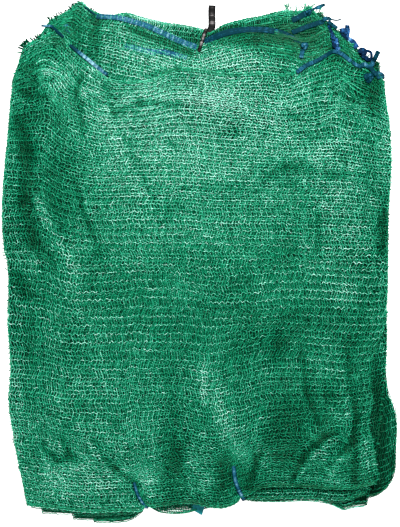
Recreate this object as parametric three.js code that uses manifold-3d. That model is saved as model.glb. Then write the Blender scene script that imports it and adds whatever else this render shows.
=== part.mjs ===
// A tied bundle of flat, empty mesh sacks: knitted green net, a blue drawstring in each mouth,
// two blue ties through the lower edge and a black strap round the upper edge.
// The bundle lies on its back: +Z is up, +Y points to the mouths, and z = 0 is the surface it lies on.
// Millimetres.
import * as THREE from "three";
import { mergeVertices } from "three/addons/utils/BufferGeometryUtils.js";
import Module from "manifold-3d";

const wasm = await Module();
wasm.setup();

// Driving dimensions
const NET_THICKNESS = 2.2; // two plies of net, one flat sack
const LAYER_GAP = 0.3; // air between two sacks
const LAYER_PITCH = NET_THICKNESS + LAYER_GAP;
const CLEARANCE = 0.35; // room round a tape where it passes through the net
const TAPE_THICKNESS = 1.0;
const DRAWSTRING_WIDTH = 6.5;
const TAIL_WIDTH = 5;
const TIE_WIDTH = 5;
const STRAP_WIDTH = 8;
const TAPE_LIFT = 0.3; // how far a tape's middle stands over the net it runs on
const TAG_THICKNESS = 0.8;

// The grid that all rippled sacks share, so that one never dips into the next
const GRID = { halfWidth: 240, halfLength: 310, columns: 12, rows: 16 };
const EDGE_STEPS = 2; // straight steps between two points of an outline

// Plan points are [x, y], seen from above. The long sides and the lower edge of every sack start from these.
const LEFT_SIDE = [[-211, 212], [-215, 185], [-219, 134], [-225, 65], [-224, 10], [-219, -14], [-219, -77], [-216, -125],
  [-218, -162], [-212, -202], [-206, -234]];
const RIGHT_SIDE = [[213, 176], [217, 145], [218, 111], [215, 60], [213, -43], [213, -100], [208, -157], [203, -208]];
const LOWER_EDGE = [[164, -273], [126, -271], [86, -272], [58, -271], [47, -267], [38, -273], [18, -281], [-11, -285],
  [-34, -287], [-53, -282], [-61, -276], [-70, -282], [-91, -283], [-125, -284]];
const LEFT_LEAN = { start: 200, end: -275 }; // y where a sack's own lean starts and is complete
const RIGHT_LEAN = { start: -128, end: -176 };
const DROP_START = 18; // how far left of the left tie the lower edge is back to its full drop

// From the top of the bundle down. mouth runs from left to right. lowerLeft and lowerRight are the lower
// corners, and drop lowers the edge beside the left corner, so that the sacks underneath show there.
const SACKS = [
  {
    mouth: [[-201, 247], [-182, 257], [-161, 264], [-148, 248], [-127, 229], [-104, 210], [-68, 209], [-22, 215],
      [35, 215], [80, 215], [112, 221], [135, 234], [158, 243], [174, 234], [196, 223], [210, 206]],
    lowerLeft: [-197, -276],
    lowerRight: [191, -262],
    drop: 0,
    ripple: 1,
  },
  {
    mouth: [[-171, 277], [-153, 286], [-136, 298], [-125, 289], [-113, 284], [-93, 282], [-68, 274], [-34, 262], [-2, 248],
      [5, 251], [29, 260], [58, 268], [97, 262], [115, 256], [128, 258], [145, 267], [158, 260], [174, 249]],
    lowerLeft: [-192, -279],
    lowerRight: [195, -264],
    drop: 3,
    ripple: 0.72,
  },
  {
    mouth: [[-159, 276], [-142, 288], [-123, 286], [-108, 282], [-85, 286], [-68, 282], [-39, 275], [-17, 272], [4, 267],
      [10, 263], [26, 272], [46, 278], [71, 283], [97, 289], [115, 288], [125, 294], [135, 282], [151, 274]],
    lowerLeft: [-180, -286],
    lowerRight: [191, -277],
    drop: 5,
    ripple: 0.45,
  },
  {
    mouth: [[-152, 279], [-113, 279], [-68, 276], [1, 263], [10, 258], [46, 272], [103, 283], [140, 286]],
    lowerLeft: [-194, -277],
    lowerRight: [197, -267],
    drop: 1,
    ripple: 0,
  },
  {
    mouth: [[-165, 260], [-113, 272], [1, 258], [103, 274], [149, 270], [166, 262]],
    lowerLeft: [-145, -294],
    lowerRight: [215, -255],
    drop: 11,
    ripple: 0,
  },
  {
    mouth: [[-182, 247], [-113, 265], [1, 256], [103, 267], [155, 260], [180, 246]],
    lowerLeft: [-122, -298],
    lowerRight: [210, -263],
    drop: 15,
    ripple: 0,
  },
  {
    mouth: [[-188, 240], [-113, 258], [1, 254], [103, 260], [160, 251], [206, 230]],
    lowerLeft: [-159, -286],
    lowerRight: [166, -283],
    drop: 8,
    ripple: 0,
  },
];

// Ridges that the upper sacks ripple into: a line from one plan point to another, its height and half width
const RIDGES = [
  { from: [-168, 150], to: [-160, -80], height: 5, width: 26 },
  { from: [160, 160], to: [165, -130], height: 5, width: 28 },
  { from: [-30, 150], to: [20, 10], height: 4, width: 55 },
  { from: [60, -80], to: [15, -200], height: 5, width: 30 },
  { from: [-165, -160], to: [-115, -215], height: 5, width: 25 },
  { from: [100, -160], to: [155, -230], height: 4, width: 28 },
  { from: [-85, -70], to: [-70, -190], height: 4, width: 26 },
  { from: [-125, 262], to: [-60, 235], height: 5, width: 24 },
  { from: [60, 240], to: [130, 232], height: 4, width: 22 },
];

// Each tie goes down through the net at hole and comes back round the edge
const TIES = [
  { name: "tie_left", hole: [-75, -251], edge: [-61, -279] },
  { name: "tie_right", hole: [37, -227], edge: [47, -271] },
];
const STRAP = { hole: [-3, 236], edge: [7, 267], tail: [[9, 264, 9], [13, 276, 8], [14, 288, 5.5], [14, 297, 3]] };
const PINCH_REACH = 34; // how far from a tie the ripples are pressed flat

// Tag of film that shows under the lower edge
const TAG = { corners: [[-18, -262], [6, -262], [5, -280], [2, -290], [-14, -280]], layer: 4 };

// The drawstrings' routes, each in its sack's own layer, with the knots and the loose tails at their ends
const DRAWSTRINGS = [
  {
    route: [[-150, 243], [-127, 225], [-104, 206], [-68, 205], [-22, 211], [35, 211], [80, 211], [112, 217], [135, 230], [158, 239], [174, 230], [190, 224]],
    knots: [[193, 224], [196, 212]],
    tails: [[[194, 226], [199, 235], [203, 243]], [[193, 223], [196, 212], [203, 210], [210, 213]]],
  },
  {
    route: [[-181, 271], [-164, 265], [-146, 272], [-127, 281], [-110, 281], [-93, 279], [-68, 271], [-34, 259], [-2, 245], [5, 248], [29, 257], [58, 265], [97, 259], [112, 252], [118, 246]],
    knots: [[118, 246]],
    tails: [[[118, 245], [117, 240], [115, 235]]],
  },
  {
    route: [[104, 262], [122, 270], [143, 279]],
    knots: [[145, 279]],
    tails: [[[146, 279], [152, 278], [160, 279]], [[146, 278], [151, 274], [157, 268]]],
  },
  { route: [[103, 277], [112, 281], [122, 286]], knots: [[123, 286]], tails: [[[124, 287], [133, 292], [143, 296]]] },
  { route: [[146, 270], [151, 262], [155, 256]], knots: [[156, 254]], tails: [[[146, 270], [147, 274], [145, 277]]] },
  {
    route: [[177, 245], [176, 251], [172, 257]],
    knots: [[171, 259]],
    tails: [[[171, 260], [166, 264], [161, 267]], [[171, 260], [172, 266], [170, 272]]],
  },
  { route: [[181, 236], [185, 240], [189, 238]], knots: [[191, 237]], tails: [[[191, 238], [196, 241], [200, 236]]] },
];
const KNOT_RADII = [5, 4.2, 2.2];
const TAIL_DROP = 0.6; // a loose tail ends this much lower than its knot

const NET_GREEN = 0x1f8a63;
const TAPE_BLUE = 0x1f5fa0;
const STRAP_BLACK = 0x1c1a1b;
const TAG_TEAL = 0x14788c;

// Geometry helpers
function solidFrom(geometry) {
  const bare = geometry.clone();
  bare.deleteAttribute("normal");
  bare.deleteAttribute("uv");
  const merged = mergeVertices(bare, 1e-4);
  return new wasm.Manifold(
    new wasm.Mesh({
      numProp: 3,
      vertProperties: merged.attributes.position.array,
      triVerts: new Uint32Array(merged.index.array),
    }),
  );
}

function geometryFrom(solid) {
  const { vertProperties, triVerts } = solid.getMesh();
  const geometry = new THREE.BufferGeometry();
  geometry.setAttribute("position", new THREE.BufferAttribute(vertProperties, 3));
  geometry.setIndex(new THREE.BufferAttribute(triVerts, 1));
  geometry.computeVertexNormals();
  return geometry;
}

// A cut can leave a loose scrap at an edge. Only the main body is kept.
function largestBody(solid) {
  return solid.decompose().reduce((best, body) => (body.volume() > best.volume() ? body : best));
}

// How high the upper sacks ripple above the flat ones at a plan point
function ripple(x, y) {
  const point = new THREE.Vector3(x, y, 0);
  const height = RIDGES.reduce((sum, ridge) => {
    const line = new THREE.Line3(new THREE.Vector3(...ridge.from, 0), new THREE.Vector3(...ridge.to, 0));
    const distance = line.closestPointToPoint(point, true, new THREE.Vector3()).distanceTo(point);
    return sum + ridge.height * Math.exp(-((distance / ridge.width) ** 2));
  }, 0);
  const pressed = [...TIES, STRAP].reduce((share, { hole, edge }) => {
    const line = new THREE.Line3(new THREE.Vector3(...hole, 0), new THREE.Vector3(...edge, 0));
    const distance = line.closestPointToPoint(point, true, new THREE.Vector3()).distanceTo(point);
    return share * (1 - Math.exp(-((distance / PINCH_REACH) ** 4)));
  }, 1);
  return height * pressed;
}

// Height of the underside of the sack at this place in the stack, counted from the top
function underside(index, x, y) {
  const level = (SACKS.length - 1 - index) * LAYER_PITCH;
  return level + SACKS[index].ripple * ripple(x, y);
}

function topSide(index, x, y) {
  return underside(index, x, y) + NET_THICKNESS;
}

// Points of a smooth open curve through plan points
function smooth(points) {
  const curve = new THREE.CatmullRomCurve3(points.map(([x, y]) => new THREE.Vector3(x, y, 0)), false, "centripetal");
  return curve.getPoints((points.length - 1) * EDGE_STEPS).map(({ x, y }) => new THREE.Vector2(x, y));
}

// Side points moved over by the share of the lean that is reached at their height
function leaning(points, lean, { start, end }) {
  return points.map(([x, y]) => [x + lean * THREE.MathUtils.smoothstep(start - y, 0, start - end), y]);
}

// The lower edge hangs lower by drop on the left of the left tie
function dropped([x, y], drop) {
  const distance = Math.max(TIES[0].edge[0] - x, 0);
  return [x, y - drop * (1 - Math.exp(-((distance / DROP_START) ** 2)))];
}

// A sack's closed outline, clockwise from the left end of its mouth
function outline({ mouth, lowerLeft, lowerRight, drop }) {
  const [first, plain] = [SACKS[0], ([x]) => x < lowerRight[0] - 15 && x > lowerLeft[0] + 15];
  const right = leaning(RIGHT_SIDE, lowerRight[0] - first.lowerRight[0], RIGHT_LEAN);
  const left = leaning(LEFT_SIDE, lowerLeft[0] - first.lowerLeft[0], LEFT_LEAN).reverse();
  const lower = LOWER_EDGE.map((point) => dropped(point, drop)).filter(plain);
  return [
    mouth,
    [mouth.at(-1), ...right, lowerRight],
    [lowerRight, ...lower, lowerLeft],
    [lowerLeft, ...left, mouth[0]],
  ].flatMap((edge) => smooth(edge).slice(0, -1));
}

// A plate of this outline between two heights
function plate(points, low, high) {
  const shape = new THREE.Shape(points);
  const geometry = new THREE.ExtrudeGeometry(shape, { depth: high - low, bevelEnabled: false });
  return solidFrom(geometry.translate(0, 0, low));
}

// Everything under a rippled surface, down to a flat floor
function below(heightAt) {
  const { halfWidth, halfLength, columns, rows } = GRID;
  const block = new THREE.BoxGeometry(2 * halfWidth, 2 * halfLength, 4 * LAYER_PITCH, columns, rows, 1);
  const places = block.attributes.position;
  for (let i = 0; i < places.count; i += 1) {
    if (places.getZ(i) > 0) places.setZ(i, heightAt(places.getX(i), places.getY(i)));
  }
  return solidFrom(block);
}

// The whole of one rippled layer, before its outline is cut
function rippledLayer(index) {
  const upTo = below((x, y) => topSide(index, x, y));
  return upTo.subtract(below((x, y) => underside(index, x, y)));
}

function sackBlank(index) {
  const points = outline(SACKS[index]);
  if (SACKS[index].ripple === 0) return plate(points, underside(index, 0, 0), topSide(index, 0, 0));
  return rippledLayer(index).intersect(plate(points, -LAYER_PITCH, 4 * SACKS.length * LAYER_PITCH));
}

// A flat tape along a route of space points, with room added all round
function tape(points, width, room = 0) {
  const [halfThickness, halfWidth] = [TAPE_THICKNESS / 2 + room, width / 2 + room];
  const section = new THREE.Shape([
    new THREE.Vector2(-halfThickness, -halfWidth),
    new THREE.Vector2(halfThickness, -halfWidth),
    new THREE.Vector2(halfThickness, halfWidth),
    new THREE.Vector2(-halfThickness, halfWidth),
  ]);
  const extrudePath = new THREE.CatmullRomCurve3(points.map((point) => new THREE.Vector3(...point)), false, "centripetal");
  const steps = (points.length - 1) * 2;
  return solidFrom(new THREE.ExtrudeGeometry(section, { steps, extrudePath, bevelEnabled: false }));
}

function knot([x, y, z], room) {
  const lump = new THREE.SphereGeometry(1, 8, 5);
  return solidFrom(lump.scale(...KNOT_RADII.map((radius) => radius + room)).translate(x, y, z));
}

function drawstring(index, room = 0) {
  const { route, knots, tails } = DRAWSTRINGS[index];
  const height = ([x, y]) => topSide(index, x, y) + TAPE_LIFT;
  const lifted = (point) => [...point, height(point)];
  const loose = (tail) => tail.map((point, i) => [...point, height(tail[0]) - (i * TAIL_DROP) / (tail.length - 1)]);
  return [
    ...knots.map((point) => knot(lifted(point), room)),
    ...tails.map((tail) => tape(loose(tail), TAIL_WIDTH, room)),
  ].reduce((whole, piece) => whole.add(piece), tape(route.map(lifted), DRAWSTRING_WIDTH, room));
}

// A closed loop of tape in the upright plane through hole and edge
function loop({ hole, edge }, low, high, width, room = 0) {
  const across = new THREE.Vector2(edge[0] - hole[0], edge[1] - hole[1]);
  const rectangle = (grow) => [
    new THREE.Vector2(-grow, low - grow),
    new THREE.Vector2(across.length() + grow, low - grow),
    new THREE.Vector2(across.length() + grow, high + grow),
    new THREE.Vector2(-grow, high + grow),
  ];
  const ring = new THREE.Shape(rectangle(TAPE_THICKNESS / 2 + room));
  ring.holes.push(new THREE.Path(rectangle(-TAPE_THICKNESS / 2 - room)));
  const depth = width + 2 * room;
  const geometry = new THREE.ExtrudeGeometry(ring, { depth, bevelEnabled: false });
  geometry.translate(0, 0, -depth / 2).rotateX(Math.PI / 2).rotateZ(across.angle()).translate(...hole, 0);
  return solidFrom(geometry);
}

function tie(place, room = 0) {
  const top = topSide(0, ...place.edge) + TAPE_LIFT;
  return loop(place, TAPE_THICKNESS / 2 + 0.15, top, TIE_WIDTH, room);
}

function strap(room = 0) {
  const top = topSide(1, ...STRAP.edge) + TAPE_LIFT + 1.6;
  const ring = loop(STRAP, TAPE_THICKNESS / 2 + 0.15, top, TIE_WIDTH, room);
  return ring.add(tape(STRAP.tail, STRAP_WIDTH, room));
}

function tag(room = 0) {
  const middle = underside(TAG.layer, 0, 0);
  const points = TAG.corners.map(([x, y]) => new THREE.Vector2(x, y)).reverse();
  return plate(points, middle - TAG_THICKNESS / 2 - room, middle + TAG_THICKNESS / 2 + room);
}

// The tapes first, then each sack with room cut for every tape that passes through it
const material = (color, roughness) => new THREE.MeshStandardMaterial({ color, roughness, metalness: 0 });
const net = material(NET_GREEN, 0.6);
const blue = material(TAPE_BLUE, 0.4);
const bundle = new THREE.Group();
const cutters = [];

function place(name, solid, finish) {
  const mesh = new THREE.Mesh(geometryFrom(solid), finish);
  mesh.name = name;
  bundle.add(mesh);
}

DRAWSTRINGS.forEach((_, index) => {
  place(`drawstring_${index + 1}`, drawstring(index), blue);
  cutters.push(drawstring(index, CLEARANCE));
});
TIES.forEach((spot) => {
  place(spot.name, tie(spot), blue);
  cutters.push(tie(spot, CLEARANCE));
});
place("strap", strap(), material(STRAP_BLACK, 0.35));
cutters.push(strap(CLEARANCE));
place("tag", tag(), material(TAG_TEAL, 0.4));
cutters.push(tag(CLEARANCE));

SACKS.forEach((_, index) => {
  const cut = cutters.reduce((solid, cutter) => solid.subtract(cutter), sackBlank(index));
  place(`sack_${index + 1}`, largestBody(cut), net);
});

// The middle of the bundle's box stands over the origin
const middle = new THREE.Box3().setFromObject(bundle).getCenter(new THREE.Vector3());
bundle.children.forEach((mesh) => mesh.geometry.translate(-middle.x, -middle.y, 0));

export default bundle;
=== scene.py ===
import math

import bpy
import numpy as np
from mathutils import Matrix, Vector


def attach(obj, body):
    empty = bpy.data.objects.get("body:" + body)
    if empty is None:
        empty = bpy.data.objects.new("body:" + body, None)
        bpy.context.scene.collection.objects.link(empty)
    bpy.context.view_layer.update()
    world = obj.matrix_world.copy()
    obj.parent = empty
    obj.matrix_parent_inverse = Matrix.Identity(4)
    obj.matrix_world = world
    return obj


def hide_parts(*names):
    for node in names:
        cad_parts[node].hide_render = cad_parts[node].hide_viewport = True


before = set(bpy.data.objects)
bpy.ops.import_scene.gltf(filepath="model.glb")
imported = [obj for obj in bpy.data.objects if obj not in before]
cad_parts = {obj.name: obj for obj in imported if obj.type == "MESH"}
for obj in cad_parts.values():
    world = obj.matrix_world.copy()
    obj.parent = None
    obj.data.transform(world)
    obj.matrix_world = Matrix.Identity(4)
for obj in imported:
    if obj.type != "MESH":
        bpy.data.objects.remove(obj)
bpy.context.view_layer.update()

BODY = "root"
MM = 0.001
RANDOM = np.random.default_rng(7)

# The plan of the bundle, in millimetres. Points are (x, y) as in the solids, which stand a
# little to the left. Lists by sack start with the front one, which lies on top.
PLAN_SHIFT = np.array([-0.82, 0.0])
# Thickness of a sack, and the step in height from sack to sack
NET = 2.2
PITCH = 2.5
# Sides from the mouth down, lower edges from right to left, mouths from left to right
LEFT_SIDE = [
    (-211, 212), (-215, 185), (-219, 134), (-225, 65), (-224, 10), (-219, -14), (-219, -77),
    (-216, -125), (-218, -162), (-212, -202), (-206, -234),
]
RIGHT_SIDE = [
    (213, 176), (217, 145), (218, 111), (215, 60), (213, -43), (213, -100), (208, -157),
    (203, -208),
]
FRONT_RIGHT_SIDE = RIGHT_SIDE[:5] + [
    (209, -76), (200, -98), (195, -115), (194, -140), (197, -158), (192, -184), (197, -206),
    (200, -226), (203, -242),
]
LOWER_EDGE = [
    (164, -273), (126, -271), (86, -272), (58, -271), (47, -267), (38, -273), (18, -281),
    (-11, -285), (-34, -287), (-53, -282), (-61, -276), (-70, -282), (-91, -283), (-125, -284),
]
FRONT_LOWER_EDGE = [
    (178, -257), (140, -257), (105, -255), (78, -256), (60, -265), *LOWER_EDGE[4:],
]
# The fuller right side of two sacks that stand out behind the front one, and its shift by sack
OUTER_RIGHT_SIDE = RIGHT_SIDE[:6] + [
    (214, -130), (217, -150), (223, -163), (226, -178), (225, -208), (224, -236), (221, -247),
]
OUTER_SHIFTS = {4: 0, 5: -4}
# Right ends of the lower edges that differ, by sack
LOWER_ENDS = {
    2: [(184, -278), (172, -279), (164, -282), (152, -275)],
    4: [(204, -266), (194, -269), (164, -273)],
    5: [(199, -268), (189, -270), (164, -273)],
}
MOUTHS = [
    [(-201, 247), (-182, 257), (-161, 264), (-148, 248), (-127, 229), (-104, 210), (-86, 207),
     (-66, 207), (-52, 210), (-40, 217), (-27, 222), (0, 221), (28, 216), (76, 217), (97, 215),
     (112, 221), (135, 234), (158, 243), (174, 234), (196, 223), (210, 206)],
    [(-171, 277), (-153, 286), (-136, 298), (-125, 289), (-113, 284), (-93, 282), (-68, 274),
     (-34, 262), (-2, 248), (5, 251), (29, 260), (58, 268), (97, 262), (115, 256), (128, 258),
     (145, 267), (158, 260), (174, 249)],
    [(-159, 276), (-142, 288), (-123, 286), (-108, 282), (-85, 286), (-68, 282), (-39, 275),
     (-17, 272), (4, 267), (10, 263), (26, 272), (46, 278), (71, 283), (97, 289), (115, 288),
     (125, 294), (135, 282), (151, 274)],
    [(-152, 279), (-113, 279), (-68, 276), (1, 263), (10, 258), (46, 272), (103, 283), (140, 286)],
    [(-165, 260), (-113, 272), (1, 258), (103, 274), (149, 270), (166, 262)],
    [(-182, 247), (-113, 265), (1, 256), (103, 267), (155, 260), (180, 246)],
    [(-188, 240), (-113, 258), (1, 254), (103, 260), (160, 251), (206, 230)],
]
LOWER_LEFT = [
    (-197, -276), (-192, -279), (-180, -286), (-194, -277), (-145, -294), (-122, -298),
    (-159, -286),
]
LOWER_RIGHT = [
    (200, -251), (190, -264), (191, -277), (188, -267), (214, -258), (208, -263), (166, -283),
]
# The sides lean to each sack's lower corners: the corner's x that the right side is drawn for,
# and the heights between which the right and the left side lean
RIGHT_FOOT, RIGHT_LEAN, LEFT_LEAN = 191, (-128, -176), (200, -275)
# Points of the lower edge closer than this to a corner are left out
CORNER = 15
# The lower edges hang down left of the ties, and are taken up about a place between them
DROPS = [0, 3, 5, 1, 11, 15, 8]
RISES = [11, 11, 10, 10, 9, 6, 4]
DROP_REACH, RISE_MIDDLE, RISE_REACH = 18, -20, 32
# How much of the ridges and of the creases each sack shows
RIPPLE_SHARES = [1, 0.72, 0.45, 0, 0, 0, 0]
CREASE_SHARES = [1, 0.8, 0.62, 0.46, 0.3, 0.15, 0]
# Broad ridges, as in the solids: x and y of both ends, height, half width
RIDGES = [
    (-168, 150, -160, -80, 5, 26), (160, 160, 165, -130, 5, 28), (-30, 150, 20, 10, 4, 55),
    (60, -80, 15, -200, 5, 30), (-165, -160, -115, -215, 5, 25), (100, -160, 155, -230, 4, 28),
    (-85, -70, -70, -190, 4, 26), (-125, 262, -60, 235, 5, 24), (60, 240, 130, 232, 4, 22),
]
# Ties and strap: from the hole in the net to the edge. The right tie's tape lies beside its line.
TIE_LEFT = ((-75, -251), (-61, -279))
TIE_RIGHT = ((37, -227), (47, -271))
TIE_RIGHT_TAPE = ((38, -232), (50, -270))
STRAP_RUN = ((-3, 236), (7, 267))
# How far from them the bundle is pressed flat
PINCH_REACH = 34
# How far a tie pulls the threads: across, upward and round its hole, and by what share
TIE_ACROSS, TIE_UP, TIE_ROUND, TIE_PULL = 32, 38, 56, 0.5
# The left shoulder's rise: how far, over what share of the width, and where it ends
SHOULDER, SHOULDER_WIDTH, SHOULDER_END = 20, 0.08, (0.7, 0.96)
# How fast a mouth's shape fades out below it: at the left, how much faster at the right, and
# the shares of the width between which that changes
MOUTH_FADE, MORE_FADE, FADE_CHANGE = 1.2, 8, (0.12, 0.4)
# How far the threads wander, and the share of a sack next to its edges where they do so less
WANDER = np.array([2.0, 1.6])
EDGE_BAND = 0.06

# Creases that only the cloth shows: x and y of both ends, height, half width
CREASES = [
    (-205, 120, -196, -60, 2.0, 9), (-150, 140, -142, -60, 2.6, 10), (-120, 200, -95, 120, 2.4, 13),
    (-150, 235, -185, 130, 2.6, 13), (136, 60, 131, -10, 2.6, 7), (122, 70, 118, -20, 1.8, 7),
    (178, 120, 182, -20, 2.2, 10), (197, 60, 196, -110, 2.0, 8), (-170, -150, -86, -240, 2.6, 8),
    (-150, -120, -80, -235, 2.4, 9), (-118, -110, -76, -222, 2.2, 9),
    (-190, -190, -120, -240, 2.0, 9), (-40, -150, -60, -245, 2.2, 12),
    (-25, -200, 10, -262, 2.2, 10), (55, -130, 42, -215, 2.8, 10), (85, -150, 52, -222, 2.2, 9),
    (165, -170, 104, -240, 2.8, 9), (195, -150, 140, -215, 2.4, 9), (188, -205, 150, -240, 2.2, 8),
    (-110, 265, -40, 240, 2.0, 8), (-95, 240, -20, 232, 1.8, 7), (20, 240, 95, 246, 2.2, 8),
    (10, 228, 80, 226, 1.8, 8), (112, 200, 170, 222, 2.4, 10), (80, 170, 140, 190, 2.2, 12),
    (-60, 190, 20, 186, 1.8, 12),
]
# Crushed places, where the threads swirl: x, y, half sizes, how far the threads are moved
CRUSHES = [
    (-165, 204, 50, 46, 2.6), (160, 174, 40, 38, 2.2), (176, 214, 34, 22, 2.2),
    (-165, -210, 38, 36, 2.2), (155, -203, 50, 46, 2.2), (95, 10, 40, 40, 1.2),
]
# Painted light and shade on the net, partly standing for net that is gathered and darker
# or stretched and paler: x, y, half sizes, change of tone
PAINTED_SHADING = [
    (-5, 180, 131, 80, 0.12), (18, 185, 34, 16, 0.06), (154, 117, 28, 51, 0.14),
    (-11, 66, 108, 40, 0.08), (1, -43, 137, 68, -0.08), (-174, 218, 9, 7, 0.2),
    (-156, 202, 6, 6, 0.16), (-157, 88, 23, 59, -0.23), (-196, 208, 16, 30, -0.22),
    (-134, 265, 18, 18, -0.1), (190, 194, 18, 23, -0.14), (210, 39, 9, 34, -0.2),
    (95, 7, 25, 16, -0.1), (96, -185, 25, 50, -0.24), (-34, -185, 14, 71, -0.14),
    (-29, -237, 15, 36, -0.2), (29, -162, 14, 39, 0.14), (-136, -248, 66, 21, 0.14),
    (-59, -254, 9, 14, 0.08), (-119, -157, 68, 63, 0.02), (160, -31, 21, 14, 0.16),
    (143, -91, 19, 23, 0.08), (200, -129, 8, 30, -0.2), (30, -232, 14, 23, -0.2),
    (115, 265, 25, 14, -0.3), (58, 259, 62, 13, -0.4), (160, 250, 68, 36, -0.18),
    (46, -251, 30, 16, -0.16), (149, -202, 63, 68, -0.13), (-22, -273, 39, 8, -0.2),
    (-5, 180, 131, 68, 0.08), (-161, 279, 34, 21, -0.22), (-173, 172, 23, 21, -0.18),
    (-25, 245, 46, 16, -0.17), (97, 245, 46, 16, -0.2), (213, 133, 14, 32, 0.14),
    (-45, 101, 125, 23, 0.08), (156, 43, 25, 41, 0.12), (115, -84, 71, 27, -0.12),
    (46, -145, 25, 57, -0.08), (194, -94, 23, 80, -0.1), (-214, -162, 16, 68, 0.12),
    (46, -262, 68, 23, -0.12), (197, -259, 25, 23, -0.26), (-72, 281, 39, 14, 0.2),
    (-27, 208, 25, 14, -0.08), (-166, -230, 16, 18, 0.08), (-56, 281, 18, 11, 0.24),
    (158, 245, 16, 16, -0.13), (119, 124, 21, 32, 0.1), (-154, 242, 30, 16, -0.1),
    (-93, 194, 34, 27, -0.06), (1, 131, 171, 18, 0.06), (192, 172, 16, 16, 0.12),
    (-85, -232, 34, 16, -0.08), (46, -214, 41, 30, -0.08), (-85, -86, 73, 16, 0.07),
    (-82, 62, 39, 16, 0.07), (-11, 5, 103, 46, 0.07), (-100, 281, 23, 11, -0.34),
    (160, 279, 21, 14, -0.32), (190, 242, 18, 16, -0.12), (156, -193, 21, 18, -0.12),
    (97, -232, 80, 16, -0.09),
]
# Painted shade and painted light along folds: x and y of both ends, change of tone, half width
FOLD_SHADING = [
    (-102, 283, 1, 265, 0.16, 5.5), (-82, 268, -9, 239, -0.45, 3.0),
    (-205, 162, -196, 128, -0.36, 10), (-196, 128, -199, 71, -0.32, 10),
    (-199, 71, -191, 26, -0.3, 10), (-191, 26, -166, -2, -0.22, 7),
    (-208, -15, -196, -34, -0.34, 9), (-191, -54, -191, -105, -0.14, 7),
    (-188, 77, -173, 48, 0.18, 7), (-173, 48, -142, -9, 0.12, 5.5), (-138, 91, -125, 54, 0.14, 2.0),
    (-142, 94, -129, 46, -0.2, 3.5), (-129, 46, -113, 7, -0.16, 3.5),
    (-133, 214, -142, 194, -0.28, 3.5), (-141, 194, -133, 145, -0.2, 3.5),
    (-119, 231, -125, 213, 0.12, 5.5), (-203, 197, -193, 189, -0.3, 2.2),
    (-193, 189, -175, 190, -0.3, 2.2), (-117, 274, -121, 233, -0.22, 7),
    (-100, 170, -68, 182, -0.2, 3.5), (-68, 182, -20, 181, -0.2, 3.5),
    (-62, 211, -27, 222, -0.2, 3.5), (-39, 137, -22, 133, -0.14, 4.5),
    (23, 144, 48, 151, -0.12, 5.5), (75, 99, 97, 109, -0.16, 4.0), (97, 109, 149, 100, -0.18, 4.0),
    (149, 100, 197, 100, -0.16, 4.0), (-17, 85, 46, 87, -0.14, 4.5),
    (95, 172, 110, 165, -0.16, 5.5), (115, 145, 151, 144, -0.14, 4.5),
    (131, 194, 134, 206, -0.18, 3.5), (201, 231, 197, 172, -0.26, 8),
    (135, 54, 133, 12, -0.26, 3.5), (209, 54, 206, 12, -0.16, 4.5),
    (-118, 203, -93, 140, 0.05, 4.5), (-93, 140, -59, 71, 0.08, 4.5),
    (-109, 203, -86, 140, -0.12, 3.0), (-86, 140, -52, 71, -0.12, 3.0),
    (-102, 213, -74, 206, -0.14, 3.5), (-27, 221, 30, 217, -0.14, 3.5),
    (30, 216, 103, 216, -0.12, 3.0), (-157, -199, -150, -216, -0.26, 3.5),
    (-150, -216, -141, -223, -0.24, 3.5), (-180, -209, -165, -223, -0.24, 4.0),
    (-165, -223, -148, -224, -0.22, 4.0), (-173, -202, -161, -206, 0.08, 4.5),
    (-119, -202, -108, -222, -0.18, 4.0), (-108, -222, -96, -234, -0.26, 3.4),
    (-96, -234, -74, -251, -0.26, 3.6), (-124, -206, -101, -239, 0.12, 3.2),
    (-74, -251, -64, -271, -0.2, 4.5), (58, -248, 67, -219, -0.32, 3.4),
    (64, -250, 73, -221, 0.12, 3.0), (105, -246, 116, -224, -0.36, 3.0),
    (116, -224, 128, -208, -0.44, 3.6), (111, -247, 133, -211, 0.16, 3.0),
    (133, -206, 142, -197, -0.44, 4.0), (142, -197, 154, -191, -0.3, 3.0),
    (137, -212, 157, -197, 0.14, 3.0), (160, -217, 177, -200, -0.4, 2.6),
    (174, -151, 178, -176, -0.32, 4.0), (178, -176, 174, -202, -0.4, 3.2),
    (169, -151, 169, -205, 0.12, 3.0), (176, -202, 175, -248, -0.26, 3.5),
    (116, -105, 121, -145, -0.24, 3.5), (121, -145, 135, -180, -0.26, 3.5),
    (168, -88, 170, -148, -0.18, 3.5), (145, -150, 149, -150, -0.26, 4.5),
    (91, -91, 84, -107, -0.2, 8), (71, -22, 71, -45, 0.12, 3.5), (159, -60, 164, -60, -0.18, 5.5),
    (94, -63, 115, -54, -0.16, 4.5), (4, -113, 4, -159, 0.16, 4.5), (6, -128, 42, -214, 0.09, 10),
    (-11, -191, -27, -227, -0.14, 5.5), (-20, -266, 18, -246, 0.1, 4.5),
    (18, -259, 42, -243, -0.16, 3.5), (50, -257, 115, -255, -0.18, 3.5),
    (115, -255, 174, -260, -0.2, 3.5), (121, -246, 166, -250, 0.12, 3.5),
    (149, -237, 162, -221, 0.12, 5.5), (188, -202, 190, -246, 0.12, 5.5),
    (132, -234, 140, -216, 0.1, 5.5), (71, -263, 149, -266, 0.1, 3.0),
    (135, -125, 160, -125, 0.08, 5.5), (153, -168, 162, -185, 0.08, 4.5),
]
# How strong all of this painted fold shading is
FOLD_SHADING_STRENGTH = 1.25
# Painted light and shade as above, for the sacks behind the front one, where they show past its
# edges
BEHIND_SHADING = [
    (203, -192, 12, 64, -0.52), (220, -186, 7, 44, -0.06), (222, -232, 9, 20, -0.36),
    (-28, -283, 36, 8, -0.2), (-110, -290, 45, 9, 0.16), (115, -271, 100, 14, -0.14),
]
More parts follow.
